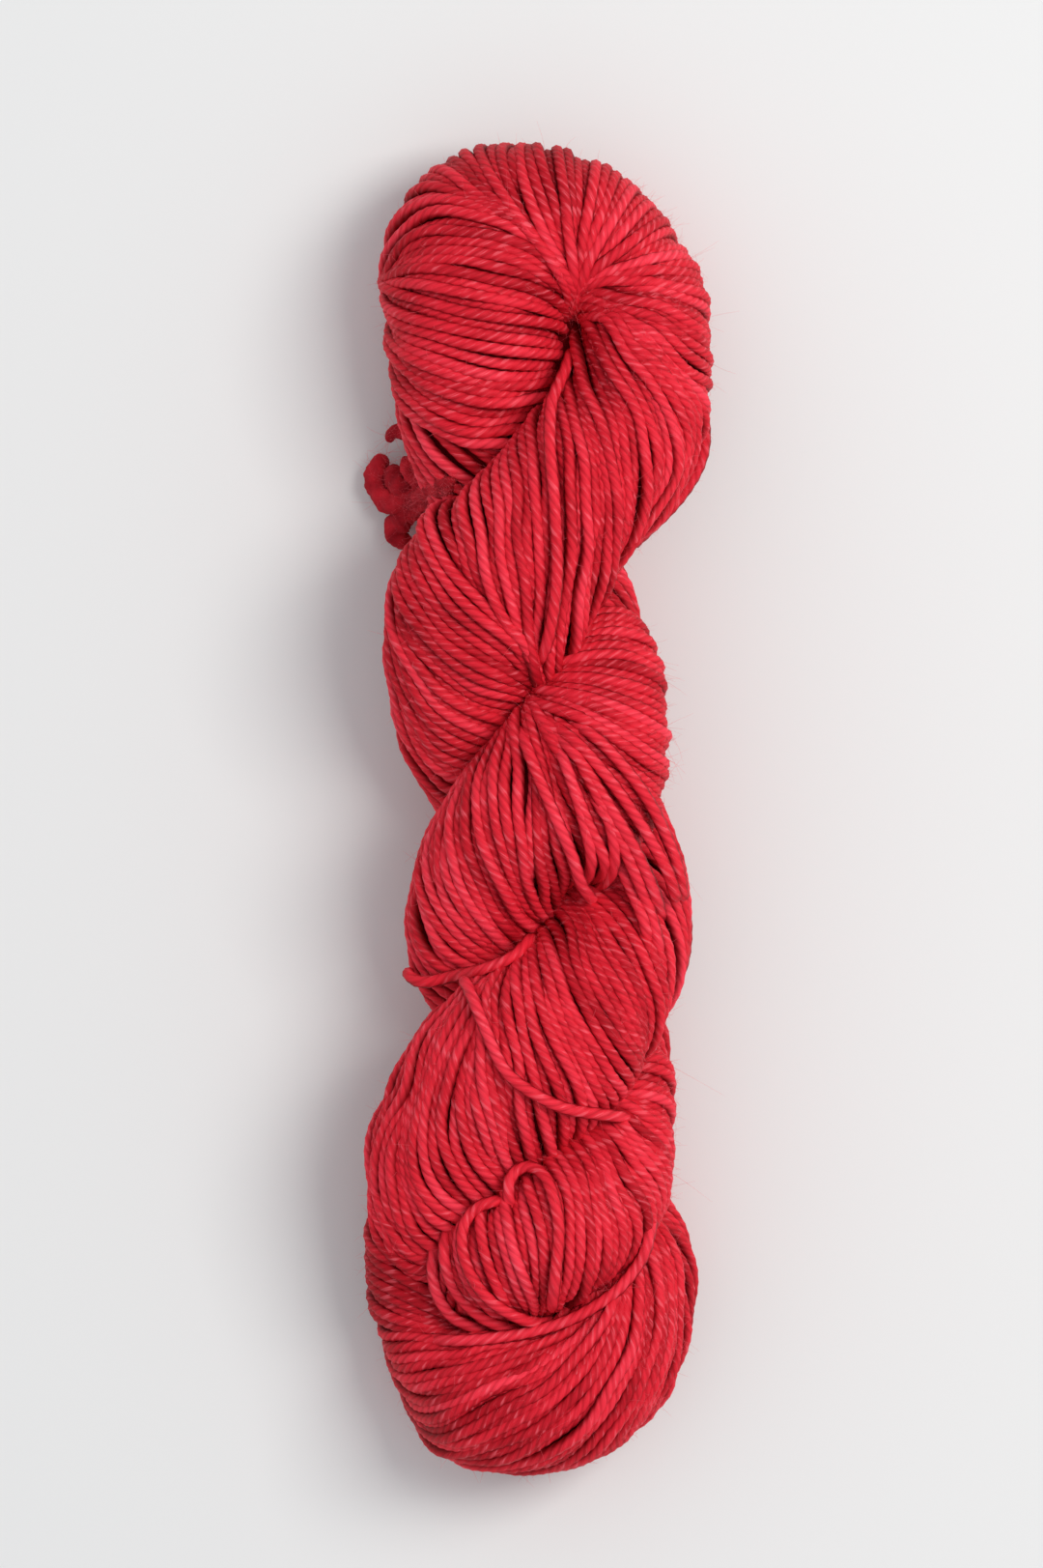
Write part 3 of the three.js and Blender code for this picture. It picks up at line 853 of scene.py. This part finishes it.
# The strands that have worked loose on top: loops and lengths of the same wool yarn, held where
# they slip in between the turns. Most lie on the turns, and two hang off the right edge.
# Each point is photo x and y and, where no turns carry the strand, its height in millimetres.
LOOSE = {
    "over_third_crevice": ((548, 972), (530, 990), (500, 1003), (470, 1010), (440, 1017), (424, 1012),
        (420, 1002)),
    "across_third_crossing": ((480, 1015), (485, 1024), (500, 1060), (515, 1095), (530, 1115),
        (560, 1135), (590, 1147), (640, 1155), (650, 1160)),
    "down_second_crossing": ((538, 758), (548, 785), (560, 815), (575, 850), (590, 885), (600, 915),
        (610, 930), (616, 936)),
    "hook_of_second_crossing": ((590, 775), (612, 815), (628, 850), (634, 880), (633, 900),
        (626, 913), (615, 920)),
    "inner_hook": ((575, 770), (590, 810), (602, 850), (610, 885), (608, 905), (600, 918)),
    "beside_the_hook": ((634, 885), (643, 903), (653, 925), (664, 952), (672, 982)),
    "middle_of_second": ((583, 790), (594, 820), (608, 855), (622, 885), (624, 903), (612, 912)),
    "upper_loop_of_last": ((570, 1350), (574, 1310), (577, 1270), (572, 1240), (563, 1216),
        (548, 1206), (534, 1210), (526, 1222), (526, 1240), (530, 1252)),
    "left_loop_of_last": ((526, 1242), (505, 1243), (489, 1252), (479, 1268), (478, 1292),
        (488, 1320), (508, 1345), (538, 1363), (562, 1368), (572, 1364)),
    "middle_loop_of_last": ((463, 1272), (459, 1290), (461, 1310), (469, 1332), (484, 1351),
        (504, 1366), (526, 1374), (542, 1376)),
    "outer_loop_of_last": ((452, 1280), (448, 1300), (447, 1318), (453, 1342), (468, 1363),
        (492, 1374), (510, 1377)),
    "over_right_notch": ((572, 752), (600, 775), (630, 810), (655, 845), (674, 875), (689, 903),
        (698, 930)),
    "inside_right_notch": ((574, 760), (598, 788), (622, 825), (645, 862), (662, 893), (676, 925),
        (684, 955)),
    "under_right_notch": ((590, 748), (620, 770), (650, 803), (672, 835), (689, 870), (700, 900),
        (706, 935)),
    "low_right_notch": ((606, 815), (622, 840), (637, 865), (650, 893), (664, 925), (675, 958),
        (682, 990)),
    "along_tucked_loop": ((673, 1264), (664, 1298), (641, 1330), (612, 1352), (582, 1367),
        (548, 1377), (512, 1383), (478, 1386), (440, 1386)),
    "up_from_dimple": ((590, 368), (584, 386), (576, 404), (569, 425), (568, 470), (573, 530),
        (575, 600), (567, 660), (556, 690)),
    "off_right_shoulder": ((706, 385, 27), (717, 405, 26), (726, 432, 24), (728, 460, 22),
        (722, 484, 20), (709, 507, 19), (690, 530, 18), (668, 551, 18), (652, 566, 18)),
    "off_right_side": ((672, 850, 27), (684, 872, 25), (695, 897, 23), (704, 925, 21), (709, 955, 20),
        (708, 985, 20), (703, 1010, 20)),
}
NEST = 1.8  # height of a loose strand's middle over that of the turns under it
NEST_REACH = 1.9  # at which turns carry it
BRIDGE = 5  # points, of which the highest carries it
SOFTEN = np.hanning(11)[1:-1] / np.hanning(11).sum()  # weights that even out its height
LOOSE_FINE_STEPS = 400
LOOSE_END_DIP = 4.8
LOOSE_END_LENGTH = 6.0
LOOSE_TONE, LOOSE_SPREAD, LOOSE_DRIFT = 0.5, 0.3, 0.5

loose_strands = []
for route in LOOSE.values():
    route = np.array(route, float)
    fine = smooth_line(from_photo(route), LOOSE_FINE_STEPS)
    length = length_along(fine)
    along = np.arange(0, length[-1], RING_STEP)
    plan = read_at(along, length, fine)
    near = np.linalg.norm(plan[:, None] - upper[None, :, :2], axis=2) < NEST_REACH
    carried = np.where(near, upper[None, :, 2], 0).max(1) + NEST
    held = np.flatnonzero(near.any(1))
    carried = np.interp(np.arange(len(along)), held, carried[held])
    carried = np.pad(carried, BRIDGE // 2, "edge")
    carried = np.lib.stride_tricks.sliding_window_view(carried, BRIDGE).max(1)
    if route.shape[1] == 3:
        carried = np.interp(along, np.linspace(0, length[-1], len(route)), route[:, 2])
    height = np.convolve(np.pad(carried, len(SOFTEN) // 2, "edge"), SOFTEN, "valid")
    to_end = np.minimum(along, along[-1] - along)
    height = height - LOOSE_END_DIP * np.clip(1 - to_end / LOOSE_END_LENGTH, 0, 1) ** 1.5
    points = np.column_stack([plan, np.maximum(height, CREST)])
    tone = rng.normal(LOOSE_TONE, LOOSE_SPREAD) + LOOSE_DRIFT * waver(along, TONE_WAVES[1:])
    loose_strands.append((points, np.tile([0.0, 0.0, 1.0], (len(points), 1)), tone, along))
spin_yarn("loose_strands", loose_strands)


# The knot of the tie at the left edge: ends of a soft strand, knotted round the loop and felted
# by the dye bath into thick curled lobes, with the cut tufts between them.
# Each point is photo x and y and, in millimetres, height and radius.
FELTED_ENDS = (
    ((452, 500, 9, 1.5), (438, 506, 10, 2.1), (424, 513, 9.5, 2.3), (408, 520, 7.5, 2.5),
     (395, 515, 6, 2.4), (388, 500, 5.2, 2.4), (389, 484, 5, 2.3), (398, 471, 5, 1.5)),
    ((440, 508, 9, 1.6), (428, 509, 9.5, 2.2), (415, 506, 9, 2.4), (407, 494, 7.5, 2.2),
     (405, 480, 6.5, 1.5)),
    ((448, 512, 8, 1.5), (434, 519, 8.5, 2.1), (422, 529, 7.5, 2.3), (412, 540, 6, 2.6),
     (408, 550, 5, 2.4), (414, 559, 4.4, 2.1), (425, 563, 4, 1.4)),
    ((438, 512, 12, 1.5), (429, 498, 11, 1.7), (421, 485, 10, 1.6), (417, 472, 9, 1.0)),
    ((446, 510, 17, 1.5), (437, 494, 16, 1.6), (431, 481, 14, 1.5), (428, 471, 12.5, 0.9)),
    ((452, 506, 22, 1.4), (444, 493, 20.5, 1.5), (438, 482, 19, 1.3), (437, 474, 18, 0.8)),
    ((470, 498, 28.5, 1.0), (458, 503, 26, 1.4), (446, 509, 20.5, 1.7), (434, 515, 14, 1.9),
     (423, 521, 9.5, 1.6)),
    ((468, 506, 27.5, 1.0), (457, 510, 24.5, 1.3), (445, 517, 17, 1.5), (432, 525, 11, 1.5),
     (422, 534, 8, 1.3)),
    ((442, 438, 15, 1.1), (430, 443, 12.5, 1.5), (418, 446, 10.5, 1.6), (408, 447, 9.5, 1.5),
     (402, 451, 8.5, 1.2), (403, 458, 8, 0.8)),
)
FELT_SIDES = 26
FELT_STEP = 0.32
FELT_FINE_STEPS = 300
BLUNTEST = 0.02  # least share of a squared radius, at the very tip
FELT_LUMPS = (0.09, 2, 1.1), (0.06, 3, -1.9), (0.05, 6, 4.3)  # height, count round, turn to a mm
FLATNESS = 0.85  # of a felted end's height to its width
FELT_FLOOR = 0.2
FELT_TONE, FELT_SPREAD, FELT_DRIFT = -0.6, 0.3, 0.4
around = 2 * np.pi * np.arange(FELT_SIDES) / FELT_SIDES
felt_points, felt_faces, felt_tones, felt_lines = [], [], [], []
for end in FELTED_ENDS:
    end = np.array(end, float)
    fine = smooth_line(np.column_stack([from_photo(end), end[:, 2:]]), FELT_FINE_STEPS)
    length = length_along(fine[:, :3])
    along = np.linspace(0, length[-1], int(length[-1] / FELT_STEP))
    path = read_at(along, length, fine)
    radius, path = path[:, 3], path[:, :3]
    to_tip = np.minimum(along, along[-1] - along)
    radius = radius * np.sqrt(np.clip(1 - (1 - np.minimum(to_tip / radius, 1)) ** 2, BLUNTEST, 1))
    run = unit(np.gradient(path, axis=0))
    up = unit(np.array([0, 0, 1.0]) - run * run[:, 2:])
    side = np.cross(run, up)
    lumps = sum((height * np.sin(count * around + along[:, None] * pitch + rng.uniform(0, 6))
                 for height, count, pitch in FELT_LUMPS), 1)
    swell = radius[:, None] * lumps
    upwards = (np.cos(around) * swell * FLATNESS)[..., None] * up[:, None]
    sideways = (np.sin(around) * swell)[..., None] * side[:, None]
    points = (path[:, None] + (upwards + sideways)).reshape(-1, 3)
    points[:, 2] = np.maximum(points[:, 2], FELT_FLOOR)
    corners = tube_triangles(len(path), FELT_SIDES)
    start = sum(map(len, felt_points))
    felt_faces.append(corners[..., 0] * FELT_SIDES + corners[..., 1] % FELT_SIDES + start)
    felt_points.append(points)
    tone = rng.normal(FELT_TONE, FELT_SPREAD) + FELT_DRIFT * waver(along, (9, 5))
    felt_tones.append(np.repeat(tone, FELT_SIDES))
    felt_lines.append(path)

felted = new_material("felted_yarn", 0.9, 0.2, {
    "Sheen Weight": 0.06, "Sheen Roughness": 0.5, "Sheen Tint": (1.0, 0.25, 0.28, 1)})
nodes, links = felted.node_tree.nodes, felted.node_tree.links
surface = nodes["Principled BSDF"]
place_node = nodes.new("ShaderNodeTexCoord")
lumpy = []
for scale, detail in ((420, 4.0), (3500, 3.0)):
    noise = nodes.new("ShaderNodeTexNoise")
    set_values(noise, {"Scale": scale, "Detail": detail})
    links.new(place_node.outputs["Object"], noise.inputs["Vector"])
    lumpy.append(noise.outputs["Fac"])
mottle, fuzz = lumpy
tone_level = sum_node("ADD", sum_node("MULTIPLY", attribute_node("tone"), 0.25),
               sum_node("MULTIPLY", mottle, 1.1))
crimson = ramp_node(tone_level, (0.24, 0.002, 0.008, 1), (0.72, 0.020, 0.036, 1))
links.new(crimson, surface.inputs["Base Color"])
set_relief(fuzz, 0.6, 0.0004)
add_piece("tie_ends", np.vstack(felt_points), np.vstack(felt_faces), felted, "tie_knot",
          {"tone": np.concatenate(felt_tones)})


# The halo of the yarn: fine fibres of the wool that stand off the strands and curl, closest where
# the skein has been handled, on the right shoulder, the right side and the felted tie.
HALO_FIBRES, FELT_FIBRES = 7600, 1520
FIBRE_RADIUS = 0.032
FIBRE_TAPER = 0.7  # of the radius, from root to tip
FIBRE_STEPS = 4
FIBRE_SIDES = 3
SHORTEST_FIBRE = 0.6
FIBRE_CURL = 0.45
LEAST_RISE, MOST_RISE = 0.25, 0.8  # share of a fibre's way that goes outwards
ROOT_REACH = 0.8  # of a strand's radius, where a fibre starts
LOWEST_ROOT = 6
FIBRE_FLOOR = 0.15
HANDLED_X, HANDLED_WIDTH = 25, 7  # of the worn right edge
HANDLED_SHARE, PLAIN_SHARE = 2.6, 0.6  # of fibres there, over those that grow anywhere
worn = top_strands + loose_strands
roots = np.vstack([s[0] for s in worn])
outs = np.vstack([s[1] for s in worn])
runs = np.vstack([np.gradient(s[0], axis=0) for s in worn])
handled = np.exp(-((roots[:, 0] - HANDLED_X) / HANDLED_WIDTH) ** 2) * HANDLED_SHARE + PLAIN_SHARE
handled *= roots[:, 2] > LOWEST_ROOT
chosen = rng.choice(len(roots), HALO_FIBRES, p=handled / handled.sum())
felt_roots = np.vstack(felt_lines)
felt_chosen = rng.integers(0, len(felt_roots), FELT_FIBRES)
roots = np.vstack([roots[chosen], felt_roots[felt_chosen]])
outs = np.vstack([outs[chosen], rng.normal(0, 1, (len(felt_chosen), 3)) + np.array([-0.4, 0, 0.8])])
runs = np.vstack([runs[chosen], rng.normal(0, 1, (len(felt_chosen), 3))])
count = len(roots)
outs = unit(outs + 0.5 * rng.normal(0, 1, (count, 3)))
runs = unit(runs * rng.choice([-1, 1], (count, 1)) + 0.3 * rng.normal(0, 1, (count, 3)))
reach = rng.gamma(2.2, 0.65, (count, 1, 1)) + SHORTEST_FIBRE
share = np.linspace(0, 1, FIBRE_STEPS)[None, :, None]
curl = rng.normal(0, FIBRE_CURL, (count, 1, 3))
rise = rng.uniform(LEAST_RISE, MOST_RISE, (count, 1, 1))
line = (roots + outs * STRAND_RADIUS * ROOT_REACH)[:, None] + reach * (
    share * (runs[:, None] * (1 - rise) + outs[:, None] * rise) + share**2 * curl)
line[..., 2] = np.maximum(line[..., 2], FIBRE_FLOOR)
way = unit(np.gradient(line, axis=1))
across = unit(np.cross(way, np.array([0.31, 0.17, 0.94])))
over = np.cross(way, across)
thick = FIBRE_RADIUS * (1 - FIBRE_TAPER * share)
around = 2 * np.pi * np.arange(FIBRE_SIDES) / FIBRE_SIDES
ring = np.cos(around)[:, None] * across[:, :, None] - np.sin(around)[:, None] * over[:, :, None]
fibre_points = (line[:, :, None] + thick[..., None] * ring).reshape(-1, 3)
corners = tube_triangles(FIBRE_STEPS, FIBRE_SIDES)
one = corners[..., 0] * FIBRE_SIDES + corners[..., 1] % FIBRE_SIDES
starts = np.arange(count) * FIBRE_STEPS * FIBRE_SIDES
fibre_faces = (one[None] + starts[:, None, None]).reshape(-1, 3)
fibre = new_material("loose_fibre", 0.6, 0.5, {"Base Color": (0.86, 0.10, 0.13, 1)})
add_piece("halo", fibre_points, fibre_faces, fibre, "hank")
